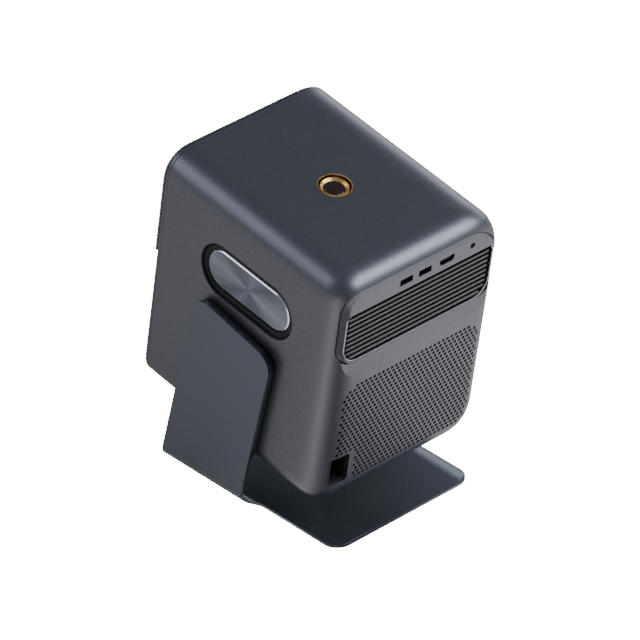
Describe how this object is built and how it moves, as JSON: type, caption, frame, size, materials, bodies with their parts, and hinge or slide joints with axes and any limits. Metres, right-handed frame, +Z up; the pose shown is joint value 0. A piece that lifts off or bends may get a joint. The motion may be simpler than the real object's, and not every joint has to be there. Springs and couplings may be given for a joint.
{
  "type": "video projector",
  "caption": "Portable video projector in a rounded upright case, hung at one side on a bent metal stand and tilted on a friction hinge.",
  "frame": {"origin": "on the resting surface under the stand's pad, straight below the hinge axis and at the middle of the case's width", "axes": "+Z up, -Y is the way the lens looks at rest before its upward tilt, +X towards the stand's arm"},
  "size_m": [0.1758, 0.2217, 0.2722],
  "materials": {
    "black_glass": "polished, dark behind",
    "black_plastic": "matt black",
    "black_rubber": "matt black",
    "board_green": "solder mask",
    "bright_steel": "plated",
    "coated_steel": "satin slate powder coat",
    "gold": "gold coloured, spun",
    "grey_plastic": "matt grey",
    "lens_glass": "coated lens",
    "paper_cone": "pressed cone",
    "satin_slate": "satin metallic slate grey",
    "spun_aluminium": "circular brushed"
  },
  "bodies": {
    "stand": {"stand_plate": "coated_steel", "base_pad": "black_rubber", "arm_liner": "black_plastic", "hinge_shaft": "bright_steel", "friction_washer": "black_plastic", "disc_spring": "bright_steel", "hinge_nut": "bright_steel"},
    "case": {"audio_jack": "black_plastic", "button_ring": "gold", "button_switch": "black_plastic", "chassis": "grey_plastic", "fan_frame": "black_plastic", "front_frame": "satin_slate", "front_glass": "black_glass", "front_grille": "black_plastic", "front_panel": "satin_slate", "hdmi_port": "bright_steel", "heat_sink": "spun_aluminium", "hinge_bushing": "bright_steel", "hinge_plate": "bright_steel", "inlet_socket": "black_plastic", "lens_barrel": "black_plastic", "light_engine": "black_plastic", "louver_grille": "black_plastic", "main_board": "board_green", "main_shell": "satin_slate", "power_supply": "board_green", "radiator_surround": "black_rubber", "rear_grille": "satin_slate", "rear_insert": "satin_slate", "sensor_module": "black_plastic", "speaker_box": "grey_plastic", "speaker_far": "paper_cone", "speaker_housing": "grey_plastic", "speaker_near": "paper_cone", "usb_port_a": "bright_steel", "usb_port_b": "bright_steel"},
    "radiator": {"radiator_plate": "spun_aluminium"},
    "button": {"power_button": "gold", "button_lens": "black_glass"},
    "focus": {"focus_sleeve": "bright_steel", "projection_lens": "lens_glass"},
    "fan": {"fan_rotor": "black_plastic"}
  },
  "joints": [
    {"name": "tilt", "type": "hinge", "parent": "stand", "child": "case", "pos_m": [0, 0, 0.1295], "axis": [-1, 0, 0], "range_deg": [-24, 80]},
    {"name": "button_press", "type": "slide", "parent": "case", "child": "button", "axis": [0, -0.165, -0.9863], "range_m": [0, 0.0006], "stiffness_N_per_m": 900, "springref_m": -0.0004},
    {"name": "radiator_stroke", "type": "slide", "parent": "case", "child": "radiator", "axis": [1, 0, 0], "range_m": [-0.0015, 0.0015], "stiffness_N_per_m": 1500},
    {"name": "focus_travel", "type": "slide", "parent": "case", "child": "focus", "axis": [0, -0.9863, 0.165], "range_m": [-0.0025, 0.0025]},
    {"name": "fan_spin", "type": "hinge", "parent": "case", "child": "fan", "pos_m": [0, 0.07602, 0.18147], "axis": [0, 0.9863, -0.165], "continuous": true}
  ]
}
